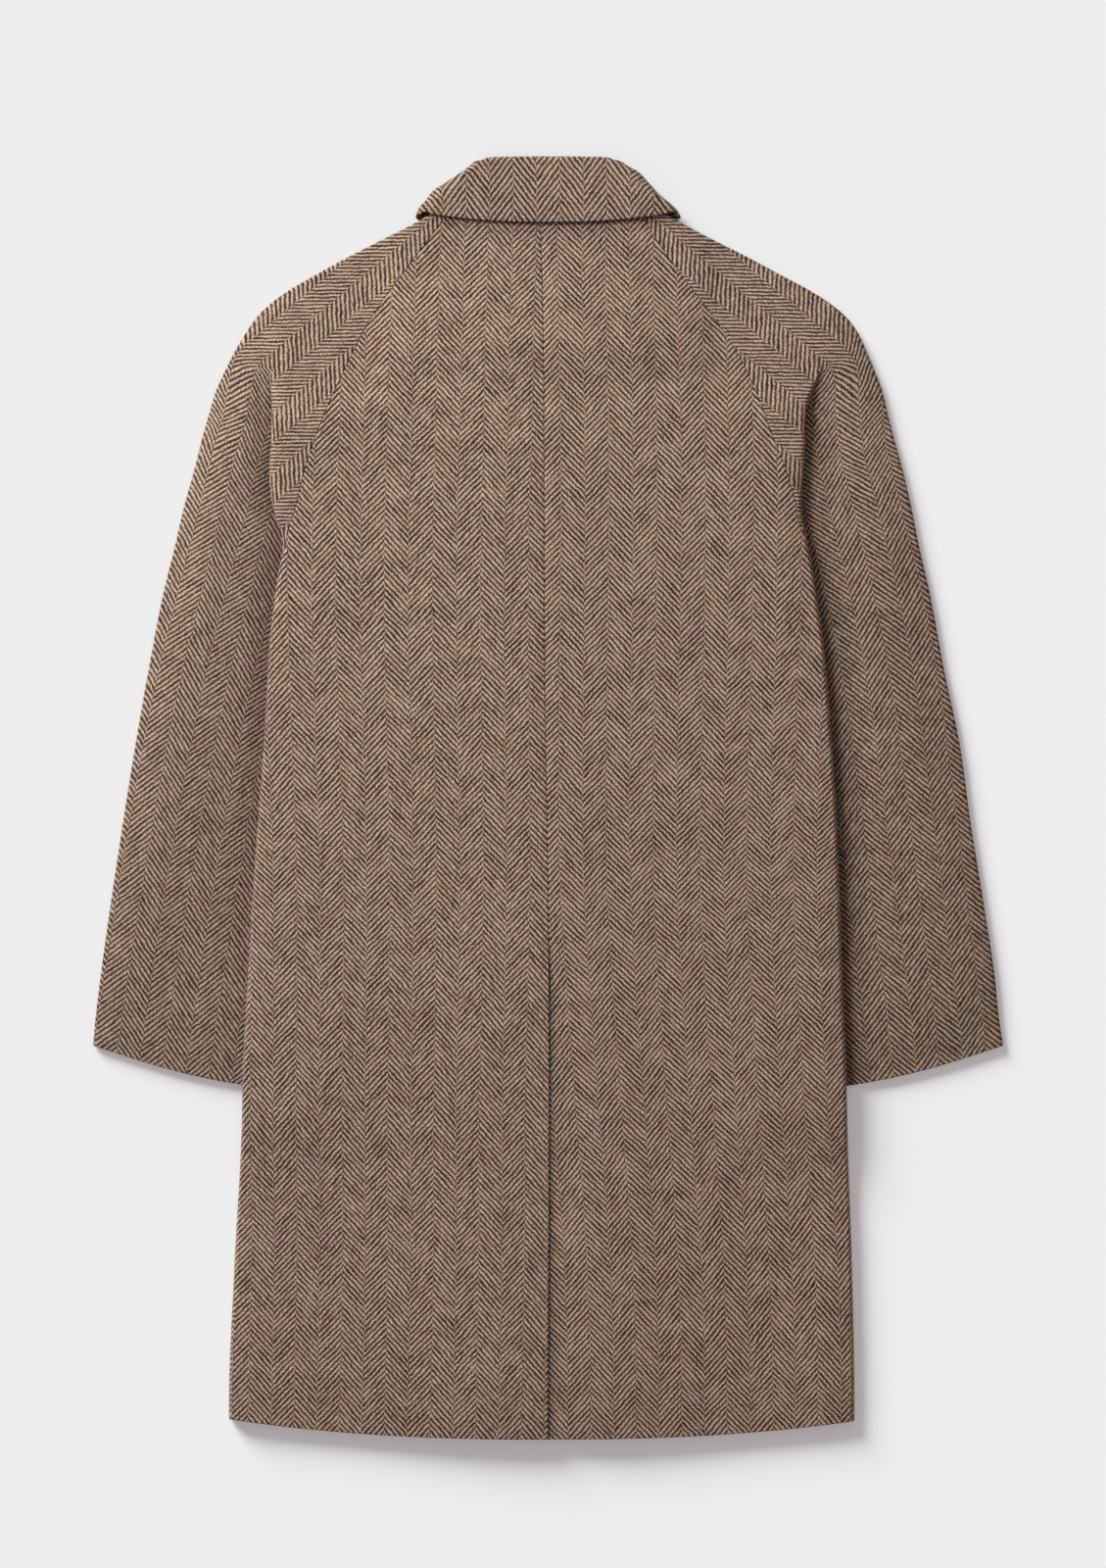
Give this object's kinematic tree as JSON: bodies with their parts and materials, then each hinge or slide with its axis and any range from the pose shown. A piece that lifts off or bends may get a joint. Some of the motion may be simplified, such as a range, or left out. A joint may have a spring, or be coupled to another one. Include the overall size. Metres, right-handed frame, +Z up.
{
  "type": "overcoat laid flat",
  "caption": "Raglan-sleeve overcoat in herringbone tweed, laid flat with its back up: folded-down collar, back vent, sleeves pleated in under the sides of the body.",
  "frame": {"origin": "centre of the coat's box on the surface it lies on", "axes": "+Y from the hem towards the collar, +X towards the right sleeve as seen from above, +Z up out of the surface"},
  "size_m": [0.762, 1.073, 0.0147],
  "materials": {
    "tweed": "brushed wool herringbone tweed in cream and dark brown with rust and ochre flecks"
  },
  "bodies": {
    "root": {"back_left": "tweed", "back_right": "tweed", "front_left": "tweed", "front_right": "tweed", "sleeve_left_back": "tweed", "sleeve_left_front": "tweed", "sleeve_right_back": "tweed", "sleeve_right_front": "tweed", "collar": "tweed"}
  },
  "joints": []
}
